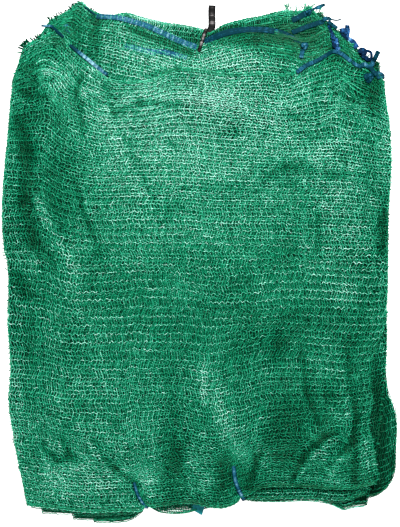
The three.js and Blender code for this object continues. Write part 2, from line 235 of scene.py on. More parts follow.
# Painted shade on the deep plies and the core, where the net is open and the dark between its
# strands shows
OPENING_SHADE = [
    (170, 60, 44, 130, -0.16), (-212, -40, 16, 200, -0.2), (10, 172, 90, 40, -0.26),
    (0, -25, 140, 85, 0.12), (-40, 250, 75, 25, -0.26), (50, 236, 60, 20, -0.26),
]
# Painted light for each millimetre of a crease's height and for the crumple's rise, and a tone
# change for all of the net
CREASE_LIGHT, CRUMPLE_LIGHT, BASE_CHANGE = 0.03, 0.02, -0.05


# Plan curves
CURVE_PARTS = 24


def between(t, start, end, a, b):
    """The value at t of a line that has the value a at the start and b at the end."""
    return ((end - t) * a + (t - start) * b) / (end - start)


def mixed(share, a, b):
    return (1 - share) * a + share * b


def curve(points, step=1.5):
    """Points a fixed step apart on a smooth line through these ones."""
    given = np.array(points, float)
    ends = np.vstack([2 * given[0] - given[1], given, 2 * given[-1] - given[-2]])
    chords = np.linalg.norm(np.diff(ends, axis=0), axis=1)
    knots = np.concatenate([[0], np.cumsum(np.sqrt(chords))])
    runs = []
    for i in range(1, len(ends) - 2):
        a, b, c, d = ends[i - 1:i + 3]
        ta, tb, tc, td = knots[i - 1:i + 3]
        t = np.linspace(tb, tc, CURVE_PARTS, endpoint=False)[:, None]
        ab, bc, cd = between(t, ta, tb, a, b), between(t, tb, tc, b, c), between(t, tc, td, c, d)
        runs.append(between(t, tb, tc, between(t, ta, tc, ab, bc), between(t, tb, td, bc, cd)))
    dense = np.vstack(runs + [given[-1:]])
    count = max(2, round(reached(dense)[-1] / step) + 1)
    return along(dense, np.linspace(0, 1, count))


def reached(points):
    """How far along a line of points each of them is."""
    return np.concatenate([[0], np.cumsum(np.linalg.norm(np.diff(points, axis=0), axis=1))])


def along(points, share):
    """Places on a line of points, by share of its length."""
    far = reached(points)
    target = np.asarray(share) * far[-1]
    return np.stack([np.interp(target, far, column) for column in points.T], axis=-1)


def smoothstep(value, low, high):
    t = np.clip((value - low) / (high - low), 0, 1)
    return t * t * (3 - 2 * t)


def leaning(points, lean, start, end):
    return [(x + lean * float(smoothstep(start - y, 0, start - end)), y) for x, y in points]


def hanging(point, drop, rise):
    """A point of the lower edge, let down to the left of the ties and taken up between them."""
    x, y = point
    low = drop * (1 - math.exp(-((max(TIE_LEFT[1][0] - x, 0) / DROP_REACH) ** 2)))
    return (x, y - low + rise * math.exp(-(((x - RISE_MIDDLE) / RISE_REACH) ** 4)))


def unshifted(plan):
    """x and y of plan points, as in the tables above."""
    return plan[..., 0] - PLAN_SHIFT[0], plan[..., 1] - PLAN_SHIFT[1]


def spot(x, y, cx, cy, a, b):
    """A share that is 1 at a centre and fades out at its half sizes."""
    return np.exp(-(((x - cx) / a) ** 2 + ((y - cy) / b) ** 2) ** 2)


class Sack:
    """One flat sack: its four edges, and the place of any point of its net."""

    def __init__(self, index):
        self.index = index
        self.behind = index > 0
        lower_left, lower_right, mouth = LOWER_LEFT[index], LOWER_RIGHT[index], MOUTHS[index]
        right = leaning(RIGHT_SIDE, lower_right[0] - RIGHT_FOOT, *RIGHT_LEAN)
        if index == 0:
            right = FRONT_RIGHT_SIDE
        elif index in OUTER_SHIFTS:
            right = [(x + OUTER_SHIFTS[index], y) for x, y in OUTER_RIGHT_SIDE]
        left = leaning(LEFT_SIDE, lower_left[0] - LOWER_LEFT[0][0], *LEFT_LEAN)
        edge = LOWER_EDGE if self.behind else FRONT_LOWER_EDGE
        lower = [hanging(point, DROPS[index], RISES[index]) for point in edge]
        first, last = lower_left[0] + CORNER, lower_right[0] - CORNER
        lower = [point for point in lower if first < point[0] < last]
        lower = LOWER_ENDS.get(index, lower[:1]) + lower[1:]
        self.mouth = curve(mouth)
        self.lower = curve([lower_left] + lower[::-1] + [lower_right])
        self.left = curve([lower_left] + left[::-1] + [mouth[0]])
        self.right = curve([lower_right] + right[::-1] + [mouth[-1]])
        self.outline = np.vstack([self.lower, self.right, self.mouth[::-1], self.left[::-1]])

    def place(self, u, v):
        """Plan points by shares: u from left to right, v from the lower edge to the mouth."""
        u, v = np.broadcast_arrays(u, v)
        low, high = along(self.lower, u), along(self.mouth, u)
        left, right = along(self.left, v), along(self.right, v)
        u, v = u[..., None], v[..., None]
        low_chord = mixed(u, self.lower[0], self.lower[-1])
        high_chord = mixed(u, self.mouth[0], self.mouth[-1])
        left_chord = mixed(v, self.lower[0], self.mouth[0])
        right_chord = mixed(v, self.lower[-1], self.mouth[-1])
        fade = MOUTH_FADE + MORE_FADE * smoothstep(u, *FADE_CHANGE)
        plan = mixed(v, low_chord, high_chord)
        plan = plan + (1 - v) ** 2 * (low - low_chord) + v ** fade * (high - high_chord)
        plan = plan + (1 - u) * (left - left_chord) + u * (right - right_chord)
        shoulder = SHOULDER * np.clip(1 - u / SHOULDER_WIDTH, 0, 1) * v ** MOUTH_FADE
        shoulder = shoulder * (1 - smoothstep(v, *SHOULDER_END))
        plan = plan + np.concatenate([np.zeros_like(shoulder), shoulder], axis=-1)
        inside = np.minimum(np.minimum(u, 1 - u), np.minimum(v, 1 - v))
        return self.pulled(plan, np.clip(inside / EDGE_BAND, 0, 1)) + PLAN_SHIFT

    def pulled(self, plan, inside):
        """The net's threads wander, and the ties gather them."""
        x, y = plan[..., 0], plan[..., 1]
        shift = np.stack([WANDER_X(x, y), WANDER_Y(x, y)], axis=-1) * WANDER * inside
        for *where, far in CRUSHES:
            share = far * spot(x, y, *where)[..., None] * inside
            shift = shift + share * np.stack([CRUSH_X(x, y), CRUSH_Y(x, y)], axis=-1)
        for hole, edge in (TIE_LEFT, TIE_RIGHT):
            line = np.interp(y, [edge[1], hole[1]], [edge[0], hole[0]])
            near = np.exp(-(((x - line) / TIE_ACROSS) ** 2))
            near = near * np.exp(-((np.maximum(y - hole[1], 0) / TIE_UP) ** 2))
            shift[..., 0] += (line - x) * TIE_PULL * near
            lift = np.exp(-((np.hypot(x - hole[0], y - hole[1]) / TIE_ROUND) ** 2))
            shift[..., 1] += (hole[1] - y) * TIE_PULL * (lift * (y > hole[1]))
        return plan + shift

    def top(self, plan):
        """Height of the sack's upper side over the surface that the bundle lies on."""
        x, y = unshifted(plan)
        level = (len(MOUTHS) - 1 - self.index) * PITCH + NET
        level = level + RIPPLE_SHARES[self.index] * ripple(x, y)
        return level + CREASE_SHARES[self.index] * creases(x, y)

    def covers(self, plan):
        """Whether plan points lie inside the sack's outline."""
        x, y = unshifted(plan)
        inside = np.zeros(x.shape, bool)
        before = np.roll(self.outline, 1, axis=0)
        for (ax, ay), (bx, by) in zip(before, self.outline):
            if ay != by:
                left_of = x < ax + (bx - ax) * (y - ay) / (by - ay)
                inside ^= ((ay > y) != (by > y)) & left_of
        return inside


def waves(seed, shortest, longest, count=7):
    """A smooth field with values of about -1 to 1, from waves of these lengths."""
    random = np.random.default_rng(seed)
    turn = random.uniform(0, 2 * math.pi, count)
    size = 2 * math.pi / random.uniform(shortest, longest, count)
    phase = random.uniform(0, 2 * math.pi, count)

    def field(x, y):
        parts = [np.sin(k * (np.cos(a) * x + np.sin(a) * y) + p)
                 for k, a, p in zip(size, turn, phase)]
        return sum(parts) / math.sqrt(count)

    return field


WANDER_X = waves(11, 60, 170)
WANDER_Y = waves(12, 70, 190)
CRUSH_X = waves(18, 24, 44, 9)
CRUSH_Y = waves(19, 24, 44, 9)
CRUMPLE = waves(13, 34, 80, 11)
CRINKLE = waves(14, 14, 30, 13)
# SHEEN sets where painted glints gather, and GLOW paints a sheen along the rows
SHEEN = waves(15, 24, 70, 9)
GLOW = waves(16, 30, 90, 11)
DRIFT = waves(17, 0.35, 1.0, 5)


def distance_to(x, y, ax, ay, bx, by):
    """How far points are from a stretch of line."""
    dx, dy = bx - ax, by - ay
    t = np.clip(((x - ax) * dx + (y - ay) * dy) / (dx * dx + dy * dy), 0, 1)
    return np.hypot(x - ax - t * dx, y - ay - t * dy)


def pressed(x, y):
    """A share that falls to 0 where the ties and the strap press the bundle together."""
    share = np.ones_like(x)
    for start, end in (TIE_LEFT, TIE_RIGHT, STRAP_RUN):
        far = distance_to(x, y, *start, *end) / PINCH_REACH
        share = share * (1 - np.exp(-(far ** 4)))
    return share


def bumps(x, y, rows, depth=1):
    """What each row of a table of lines adds at these points."""
    return [depth * amount * np.exp(-((distance_to(x, y, *line) / width) ** 2))
            for *line, amount, width in rows]


def ripple(x, y):
    return sum(bumps(x, y, RIDGES)) * pressed(x, y)


def creases(x, y):
    rough = 0.7 * (1 + CRUMPLE(x, y)) + 0.3 * (1 + CRINKLE(x, y))
    return np.maximum(sum(bumps(x, y, CREASES)) + rough, 0) * (0.25 + 0.75 * pressed(x, y))


def shade(plan, behind, deep=False):
    """Painted light and shade: how much paler or darker the net is. Deep is for what shows between
    the strands.
    """
    x, y = unshifted(plan)
    change = CREASE_LIGHT * sum(bumps(x, y, CREASES)) + CRUMPLE_LIGHT * CRUMPLE(x, y) + BASE_CHANGE
    for *where, amount in PAINTED_SHADING + behind * BEHIND_SHADING + deep * OPENING_SHADE:
        change = change + amount * spot(x, y, *where)
    for amount in bumps(x, y, FOLD_SHADING, FOLD_SHADING_STRENGTH):
        change = change + amount
    return change


# Mesh making. In its map each strand or sheet has a strip of its own.
STRIP_START, STRIP_SHARE = 0.06, 0.8
SHEET_SHARE, UPPER_START, LOWER_START, WALL_BAND = 0.42, 0.04, 0.5, (0.94, 0.97)
RIBBON_POINTS = 9


def placed(name, data):
    """A new object in the scene, with this mesh, lamp or camera."""
    thing = bpy.data.objects.new(name, data)
    bpy.context.scene.collection.objects.link(thing)
    return thing


class Pile:
    """Collects closed strands and sheets, then makes them into one object."""

    def __init__(self):
        self.points, self.loops, self.sizes, self.maps, self.tones = [], [], [], [], []
        self.count = 0
        self.strips = 0

    def strand(self, points, width, height, twist=0.0, tone=0.5, sides=3):
        """A closed tape along points in millimetres, of full width and height, with a twist in
        radians."""
        points = np.asarray(points, float)
        n = len(points)
        side, up = frame_of(points, np.broadcast_to(twist, (n,)))
        angles = 2 * math.pi * (np.arange(sides) + 0.5) / sides
        across = np.cos(angles)[None, :, None] * np.broadcast_to(width, (n,))[:, None, None] / 2
        upward = np.sin(angles)[None, :, None] * np.broadcast_to(height, (n,))[:, None, None] / 2
        self.rings(points[:, None] + across * side[:, None] + upward * up[:, None], tone)

    def ribbon(self, points, width, thickness, roll=0.0, tone=0.5, ridges=3):
        """A closed flat tape with ridges. Width, roll and tone may be lists over its length."""
        n = len(points)
        width, roll, tone = spread(width, n), spread(roll, n), spread(tone, n)
        side, up = frame_of(points, roll)
        s = np.linspace(1, -1, RIBBON_POINTS)
        swell = np.cos(math.pi * ridges * s)
        half = thickness / 2 * (1 - 0.5 * s ** 4)
        across = np.concatenate([s, s[::-1]])[None, :, None] * width[:, None, None] / 2
        height = np.concatenate([half + 0.14 * thickness * swell, -half])[None, :, None]
        # Tone across the tape: painted light on its ridges and painted shade at its edges, with
        # random tone along it
        grain = 0.12 * swell - 0.3 * s ** 6
        grain = np.concatenate([grain, grain])[None, :] + RANDOM.normal(0, 0.12, (n, 1))
        ring = points[:, None] + across * side[:, None] + height * up[:, None]
        self.rings(ring, tone[:, None] + grain)

    def rings(self, ring, tone=0.5):
        """A closed skin over rings of points, with flat ends."""
        n, k = ring.shape[:2]
        i, j = np.meshgrid(np.arange(n - 1), np.arange(k), indexing="ij")
        after = (j + 1) % k
        corners = [i * k + j, (i + 1) * k + j, (i + 1) * k + after, i * k + after]
        map_i = np.stack([i, i + 1, i + 1, i], axis=-1) / (n - 1)
        map_j = np.stack([j, j, j + 1, j + 1], axis=-1) / k
        start = self.strips + STRIP_START
        shares = np.stack([map_i, start + STRIP_SHARE * map_j], axis=-1)
        self.add(np.stack(corners, axis=-1).reshape(-1, 4), shares.reshape(-1, 2))
        for first, order in ((0, np.arange(k)), ((n - 1) * k, np.arange(k)[::-1])):
            end = np.full(k, 0.0 if first == 0 else 1.0)
            shares = np.stack([end, start + STRIP_SHARE * order / k], axis=-1)
            self.add((order + first)[None], shares)
        tone = np.asarray(tone, float)
        tone = tone[:, None] if tone.ndim == 1 else tone
        self.close(ring.reshape(-1, 3), np.broadcast_to(tone, (n, k)).ravel())

    def slab(self, upper, lower, tone=0.5):
        """A closed sheet between two grids of points, seen from above with y up."""
        rows, columns = upper.shape[:2]
        size = rows * columns
        index = np.arange(size).reshape(rows, columns)
        corners = [index[:-1, :-1], index[:-1, 1:], index[1:, 1:], index[1:, :-1]]
        face = np.stack(corners, axis=-1).reshape(-1, 4)
        rim = np.concatenate([index[0, :-1], index[:-1, -1], index[-1, :0:-1], index[:0:-1, 0]])
        ahead = np.roll(rim, -1)
        wall = np.stack([rim + size, ahead + size, ahead, rim], axis=-1)
        share = np.meshgrid(np.linspace(0, 1, columns), np.linspace(0, 1, rows))
        share = np.stack(share, axis=-1).reshape(-1, 2) * [1, SHEET_SHARE] + [0, self.strips]
        self.add(face, (share + [0, UPPER_START])[face].reshape(-1, 2))
        back = face[:, ::-1]
        self.add(back + size, (share + [0, LOWER_START])[back].reshape(-1, 2))
        turn = np.arange(len(rim)) / len(rim)
        following = turn + 1 / len(rim)
        wall_u = np.stack([turn, following, following, turn], axis=-1)
        wall_v = self.strips + np.broadcast_to(np.repeat(WALL_BAND, 2), wall_u.shape)
        self.add(wall, np.stack([wall_u, wall_v], axis=-1).reshape(-1, 2))
        tone = np.broadcast_to(tone, (rows, columns)).ravel()
        points = np.vstack([upper.reshape(-1, 3), lower.reshape(-1, 3)])
        self.close(points, np.concatenate([tone, tone]))

    def add(self, faces, shares):
        self.loops.append((faces + self.count).ravel())
        self.sizes.append(np.full(len(faces), faces.shape[1]))
        self.maps.append(shares)

    def close(self, points, tones):
        self.points.append(points)
        self.tones.append(tones)
        self.count += len(points)
        self.strips += 1

    def made(self, name, material, slot, nodes=()):
        """Makes the object, which rides on the one body and may stand for solids."""
        points = np.concatenate(self.points) * MM
        loops = np.concatenate(self.loops)
        sizes = np.concatenate(self.sizes)
        maps = np.concatenate(self.maps)
        maps[:, 1] /= self.strips
        starts = np.concatenate([[0], np.cumsum(sizes)[:-1]])
        mesh = bpy.data.meshes.new(name)
        mesh.vertices.add(len(points))
        mesh.vertices.foreach_set("co", points.ravel())
        mesh.loops.add(len(loops))
        mesh.loops.foreach_set("vertex_index", loops)
        mesh.polygons.add(len(sizes))
        mesh.polygons.foreach_set("loop_start", starts)
        mesh.polygons.foreach_set("use_smooth", sizes == 4)
        mesh.uv_layers.new(name="OFBake").uv.foreach_set("vector", maps.ravel())
        tone = mesh.attributes.new("tone", "FLOAT", "POINT")
        tone.data.foreach_set("value", np.concatenate(self.tones))
        mesh.update(calc_edges=True)
        mesh.materials.append(material)
        piece = placed(name, mesh)
        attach(piece, BODY)
        if nodes:
            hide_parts(*nodes)


def frame_of(points, roll):
    """Unit vectors to the side and up along a line, turned about it by a roll in radians."""
    ahead = np.gradient(points, axis=0)
    ahead /= np.linalg.norm(ahead, axis=1)[:, None]
    side = np.cross(ahead, [0.0, 0.0, 1.0])
    side /= np.maximum(np.linalg.norm(side, axis=1), 1e-9)[:, None]
    up = np.cross(side, ahead)
    turn = roll[:, None]
    return side * np.cos(turn) + up * np.sin(turn), up * np.cos(turn) - side * np.sin(turn)


def spread(values, count):
    """One value for each of count places, from a number or a list over the whole length."""
    values = np.atleast_1d(np.asarray(values, float))
    return np.interp(np.linspace(0, 1, count), np.linspace(0, 1, len(values)), values)


# Materials
SPECKLE_DETAIL = 3
GLOSS_SPREAD = 0.12
GRAIN, GRAIN_DEPTH = 0.25, 0.0002


def filled(node, values):
    for name, value in values.items():
        node.inputs[name].default_value = value
    return node


def material(name, roughness, specular):
    made = bpy.data.materials.new(name)
    made.use_nodes = True
    shader = made.node_tree.nodes["Principled BSDF"]
    return made, filled(shader, {"Roughness": roughness, "Specular IOR Level": specular})


def ramp(nodes, stops):
    node = nodes.new("ShaderNodeValToRGB")
    elements = node.color_ramp.elements
    while len(elements) < len(stops):
        elements.new(0.5)
    for element, (position, colour) in zip(elements, stops):
        element.position = position
        element.color = (*colour, 1)
    return node


def film(name, stops, roughness, specular, contrast, scale=420):
    """Plastic film or tape: its tone comes from the mesh, and a fine speckle changes its
    colour, gloss and relief. On the net, the speckle's pale flecks are painted glints."""
    made, shader = material(name, roughness, specular)
    nodes, links = made.node_tree.nodes, made.node_tree.links
    tone = nodes.new("ShaderNodeAttribute")
    tone.attribute_name = "tone"
    place = nodes.new("ShaderNodeTexCoord")
    speckle = nodes.new("ShaderNodeTexNoise")
    filled(speckle, {"Scale": scale, "Detail": SPECKLE_DETAIL})
    shifted = filled(nodes.new("ShaderNodeMath"), {1: contrast / 2})
    shifted.operation = "SUBTRACT"
    total = filled(nodes.new("ShaderNodeMath"), {1: contrast})
    total.operation = "MULTIPLY_ADD"
    colour = ramp(nodes, stops)
    rough = nodes.new("ShaderNodeMapRange")
    filled(rough, {"To Min": roughness - GLOSS_SPREAD, "To Max": roughness + GLOSS_SPREAD})
    grain = filled(nodes.new("ShaderNodeBump"), {"Strength": GRAIN, "Distance": GRAIN_DEPTH})
    for source, output, target, entry in (
        (place, "Object", speckle, "Vector"),
        (tone, "Fac", shifted, 0),
        (speckle, "Fac", total, 0),
        (shifted, 0, total, 2),
        (total, 0, colour, "Fac"),
        (colour, "Color", shader, "Base Color"),
        (speckle, "Fac", rough, "Value"),
        (rough, "Result", shader, "Roughness"),
        (speckle, "Fac", grain, "Height"),
        (grain, "Normal", shader, "Normal"),
    ):
        links.new(source.outputs[output], target.inputs[entry])
    return made


# The pale end of the net's ramp is the colour of painted glints and highlights
GREEN = film("green_net", [
    (0.1, (0.0003, 0.075, 0.030)), (0.5, (0.004, 0.25, 0.120)), (0.74, (0.04, 0.43, 0.26)),
    (0.87, (0.17, 0.59, 0.43)), (1.0, (0.48, 0.85, 0.73)),
], roughness=0.35, specular=0.1, contrast=1.85, scale=800)
# The core's dark green is painted shade of the plies deep in the bundle; the dark teeth use it too
CORE = film("green_net_core", [
    (0.1, (0.0002, 0.012, 0.005)), (0.5, (0.0003, 0.06, 0.026)), (0.9, (0.001, 0.15, 0.065)),
], roughness=0.7, specular=0.02, contrast=2.0, scale=330)
BLUE = film("blue_tape", [
    (0.1, (0.0006, 0.022, 0.032)), (0.5, (0.011, 0.085, 0.145)), (0.9, (0.22, 0.43, 0.49)),
], roughness=0.6, specular=0.02, contrast=0.95)
NAVY = film("navy_tape", [
    (0.1, (0.001, 0.010, 0.030)), (0.5, (0.012, 0.070, 0.190)), (0.9, (0.13, 0.30, 0.52)),
], roughness=0.6, specular=0.02, contrast=1.0)
BLACK = film("black_strap", [
    (0.1, (0.002, 0.002, 0.002)), (0.5, (0.01, 0.009, 0.009)), (0.9, (0.2, 0.185, 0.185)),
], roughness=0.5, specular=0.03, contrast=0.3)
TEAL = film("teal_film", [
    (0.1, (0.003, 0.11, 0.135)), (0.5, (0.008, 0.2, 0.225)), (0.9, (0.03, 0.31, 0.33)),
], roughness=0.5, specular=0.05, contrast=0.9)

# The nets
SACKS = [Sack(index) for index in range(len(MOUTHS))]
LAST = len(SACKS) - 1
COLUMNS = 142
# The size by which shares of a sack are turned into millimetres
SACK_LENGTH, SACK_WIDTH = 500, 430
# Over the height of a sack: the step from row to row
PITCH_PLACES = [0, 0.06, 0.17, 0.32, 0.47, 0.6, 0.73, 0.86, 1]
PITCHES = [6.0, 6.8, 8.5, 9.5, 9.6, 8.6, 7.9, 7.5, 6.6]
# Width and height of the strands of rows, uprights, hems and undersides
CHAIN_SIZE, WEFT_SIZE, HEM_SIZE, UNDER_SIZE = (0.95, 0.7), (1.0, 0.5), (1.5, 0.8), (2.2, 0.7)
# Where the second row of a double one stands, as a share of the step to the next row
DOUBLE = 0.44
# How high the rows lie over their ply and bend up and down, and how low the uprights lie
CHAIN_LIFT, CHAIN_STEP, WEFT_DROP = 0.25, 0.15, 0.1
# Where the uprights' points lie between two rows, and how far they lean, in columns
FINE_UPRIGHTS, PLAIN_UPRIGHTS = ([0.08, 0.92], [-0.45, 0.45]), ([0.5], [0.45])
# Every second upright is paler by this, and the others darker
WEFT_STRIPE = 0.06
# Over the height of a sack: how far the rows swing, and the tone of the main rows and of the
# rows between them
ROW_PLACES = [0, 0.3, 0.36, 0.58, 0.66, 1]
SWINGS = [0.1, 0.1, 0.13, 0.13, 0.085, 0.085]
MAIN_TONES = [0, 0, 0.08, 0.08, 0, 0]
MINOR_TONES = [-0.08, -0.08, -0.24, -0.24, -0.08, -0.06]
# No strand's middle lies lower than this
LOWEST = 0.85
CHAIN_TONE, WEFT_TONE, HEM_TONE, GATHER_TONE, CORE_TONE = 0.70, 0.585, 0.36, 0.42, 0.36
# Share of strand points with a painted glint, and how much paler the glint is
GLINTS, GLINT_TONE = 0.08, 0.2
# The uprights of a ply deeper than this get the painted shade of the openings
DEEP = 1.2
HEM_POINTS, UNDER_POINTS, GATHER_POINTS, LOOSE_POINTS = 220, 70, 36, 40
CHAIN_SEED, WEFT_SEED, HEM_SEED, FRAY_SEED = 100, 200, 400, 500
LOOSE_SEED, CORD_SEED, GATHER_SEED, UNDER_SEED = 600, 700, 800, 900
STRETCH_SEEDS = 10
CORE_INSET, CORE_THICKNESS = 1.2, 0.4
FINE_GRID, COARSE_GRID = (60, 75), (40, 50)
# Hem strands in from the edge: of an upper ply, of the front sack's back, of a mouth's underside
HEM_INSETS, BACK_INSETS, UNDER_INSETS = (0.4, 2.0, 3.6), (1.0, 3.0), (1, 4, 7, 10, 13)
UNDER_DEPTH = 2.0


def row_shares():
    """Where the rows of the knit stand from the lower edge to the mouth: closer near both."""
    shares = [0.0]
    while shares[-1] < 1:
        shares.append(shares[-1] + np.interp(shares[-1], PITCH_PLACES, PITCHES) / SACK_LENGTH)
    return np.array(shares) / shares[-1]


ROWS = row_shares()


def runs_of(mask):
    """Start and end of each run of at least three kept places."""
    edges = np.flatnonzero(np.diff(np.concatenate([[0], mask.astype(int), [0]])))
    return [(a, b) for a, b in zip(edges[::2], edges[1::2]) if b - a >= 3]


def sparkle(random, plan, change, glints, rough=0.08):
    """Uneven tone along a strand, with painted glints in patches, most where painted light makes
    the net paler.
    """
    x, y = plan[..., 0], plan[..., 1]
    chance = glints * np.clip(0.6 + 0.3 * SHEEN(x, y) + 2 * change, 0.1, 2)
    return random.normal(0, rough, x.shape) + GLINT_TONE * (random.random(x.shape) < chance)


def knit_shares(random, phase):
    """Where the columns and rows of a ply stand, each a little off its place."""
    u = np.linspace(0, 1, COLUMNS + 1)
    u = np.clip(u + random.uniform(-0.2, 0.2, len(u)) / COLUMNS, 0, 1)
    v = ROWS + phase / len(ROWS)
    v = v + random.uniform(-0.06, 0.06, len(v)) / len(ROWS)
    return u, v


def drifted(u, v, drift):
    """Shares up the sack where a ply has slid on the ply over it."""
    return np.clip(v + drift / len(ROWS) * DRIFT(u, v), 0, 1)


def everywhere(u, v):
    return np.ones(len(u), bool)


def near_edge(band, mouth_band):
    def keep(u, v):
        side = np.minimum(u, 1 - u) * SACK_WIDTH
        return (side < band) | (v * SACK_LENGTH < band) | ((1 - v) * SACK_LENGTH < mouth_band)

    return keep


def chains(pile, sack, depth, keep=everywhere, fine=False, phase=0.0, seed=0, light=0.0,
           drift=0.0, glints=GLINTS):
    """The rows of a ply of net, at a depth under the sack's upper side. A fine ply's rows are
    double."""
    random = np.random.default_rng(CHAIN_SEED + seed)
    u, v = knit_shares(random, phase)
    bends = np.where(np.arange(len(u)) % 2 == 0, 1.0, -1.0)
    step = np.diff(v, append=v[-1] + 1 / len(v))
    for part in range(2 if fine else 1):
        for row, share in enumerate(v + part * DOUBLE * step):
            wave = bends * random.choice([-1.0, 1.0])
            up = drifted(u, np.full(len(u), share), drift)
            plan = sack.place(u, up)
            swing = np.interp(share, ROW_PLACES, SWINGS) * step[row] * SACK_LENGTH
            plan[:, 1] += swing * wave * random.uniform(0.3, 1.5, len(u))
            z = sack.top(plan) - depth + CHAIN_LIFT - CHAIN_STEP * part + CHAIN_STEP * wave
            points = np.column_stack([plan, np.maximum(z, LOWEST)])
            reach = random.uniform(0.2, 2.4, 2)
            points[0, 0] -= reach[0]
            points[-1, 0] += reach[1]
            glow = 0.03 * GLOW(plan[:, 0], plan[:, 1] * 5)
            change = shade(plan, sack.behind)
            tone = CHAIN_TONE + light + change + random.normal(0, 0.03) + glow
            tone = tone + np.interp(share, ROW_PLACES, MINOR_TONES if part else MAIN_TONES)
            tone = tone + sparkle(random, plan, change, glints)
            twist = random.normal(0, 0.5) + np.cumsum(random.normal(0, 0.8, len(u)))
            for a, b in runs_of(keep(u, up)):
                pile.strand(points[a:b], *CHAIN_SIZE, twist[a:b], tone[a:b])


def wefts(pile, sack, depth, keep=everywhere, fine=False, phase=0.0, seed=0, light=0.0,
          drift=0.0):
    """The strands that go up from row to row of a ply of net."""
    random = np.random.default_rng(WEFT_SEED + seed)
    u, v = knit_shares(random, phase)
    places, leans = FINE_UPRIGHTS if fine else PLAIN_UPRIGHTS
    gap = np.repeat(np.arange(len(v) - 1), len(places))
    up = v[gap] + np.tile(places, len(v) - 1) * (v[gap + 1] - v[gap])
    side = np.tile(leans, len(v) - 1) * np.where(gap % 2 == 0, 1.0, -1.0)
    for j in range(COLUMNS):
        share = np.clip(u[j] + side / COLUMNS, 0, 1)
        high = drifted(share, up, drift)
        plan = sack.place(share, high)
        plan[:, 0] += random.normal(0, 0.22, len(up))
        z = sack.top(plan) - depth - WEFT_DROP + random.normal(0, 0.12, len(up))
        points = np.column_stack([plan, np.maximum(z, LOWEST)])
        change = shade(plan, sack.behind, depth > DEEP)
        tone = WEFT_TONE + light + change + (WEFT_STRIPE if j % 2 else -WEFT_STRIPE)
        tone = tone + sparkle(random, plan, change, glints=0)
        twist = random.normal(0, 0.6) + np.cumsum(random.normal(0, 0.6, len(up)))
        for a, b in runs_of(keep(share, high)):
            pile.strand(points[a:b], *WEFT_SIZE, twist[a:b], tone[a:b])


def net(pile, *settings, glints=GLINTS, **options):
    chains(pile, *settings, glints=glints, **options)
    wefts(pile, *settings, **options)


def hem(pile, sack, depth, insets, seed):
    """Strands along the sides, the lower edge and the mouth of a sack."""
    random = np.random.default_rng(HEM_SEED + seed)
    n = HEM_POINTS
    run = np.linspace(0, 1, n)
    for inset in insets:
        u, v = inset / SACK_WIDTH, inset / SACK_LENGTH
        edges = [(run, np.full(n, v)), (run, np.full(n, 1 - v))]
        if inset == insets[0]:
            edges += [(np.full(n, u), run), (np.full(n, 1 - u), run)]
        for across, up in edges:
            plan = sack.place(across, up) + random.normal(0, 0.25, (n, 2))
            points = np.column_stack([plan, np.maximum(sack.top(plan) - depth, LOWEST)])
            change = shade(plan, sack.behind)
            tone = HEM_TONE + np.minimum(change, 0.4 * change)
            tone = tone + sparkle(random, plan, change, glints=0.04, rough=0.09)
            pile.strand(points, *HEM_SIZE, np.cumsum(random.normal(0, 0.3, n)), tone)


def under_hem(pile, sack):
    """Strands along the underside of a mouth, which shows past the shorter sacks below it."""
    random = np.random.default_rng(UNDER_SEED + sack.index)
    n = UNDER_POINTS
    run = np.linspace(0.004, 0.996, n)
    for inset in UNDER_INSETS:
        plan = sack.place(run, np.full(n, 1 - inset / SACK_LENGTH))
        plan = plan + random.normal(0, 0.25, (n, 2))
        points = np.column_stack([plan, np.maximum(sack.top(plan) - UNDER_DEPTH, LOWEST)])
        tone = 0.5 + 0.5 * shade(plan, True) + random.normal(0, 0.12, n)
        pile.strand(points, *UNDER_SIZE, tone=tone)


def fray(pile, sack, line, count, reach, width, tone, seed):
    """Loose ends that stick out over a stretch of a sack's edge."""
    random = np.random.default_rng(FRAY_SEED + seed)
    line = curve(line)
    for share in random.uniform(0, 1, count):
        root, ahead = along(line, [share, min(share + 0.01, 1)])
        outward = np.array([ahead[1] - root[1], root[0] - ahead[0]]) + 1e-9
        outward *= np.sign(outward @ root) / np.linalg.norm(outward)
        lean = random.normal(0, 0.5) * np.array([-outward[1], outward[0]])
        tip = root + (outward + lean) * reach * random.uniform(0.35, 1)
        plan = np.array([root - outward * 3, root, (root + tip) / 2 + lean * 0.6, tip])
        plan = plan + PLAN_SHIFT
        z = sack.top(plan) - 0.7 + np.array([0, 0.3, 0.5, 0.3]) * random.uniform(0, 1.5)
        twist = random.normal(0, 0.5)
        points = np.column_stack([plan, z])
        pile.strand(points, width, 0.6, twist, tone + random.normal(0, 0.12))


def gather(pile, sack, start, end, reach, count, seed):
    """Bunched strands that run along a stretch of a mouth, some dark and some pale."""
    random = np.random.default_rng(GATHER_SEED + seed)
    n = GATHER_POINTS
    for down in np.linspace(1.5, reach, count):
        ends = np.array([random.uniform(0, 0.5), random.uniform(0.6, 1)])
        u = np.linspace(*(start + (end - start) * ends), n)
        v = 1 - (down + np.cumsum(random.normal(0, 0.3, n))) / SACK_LENGTH
        plan = sack.place(u, np.clip(v, 0, 1))
        z = sack.top(plan) - 0.25 + random.normal(0, 0.1, n)
        tone = GATHER_TONE + shade(plan, False) + random.normal(0, 0.2)
        tone = tone + random.normal(0, 0.1, n)
        twist = np.cumsum(random.normal(0, 0.3, n))
        pile.strand(np.column_stack([plan, z]), random.uniform(0.9, 2.0), 0.7, twist, tone)


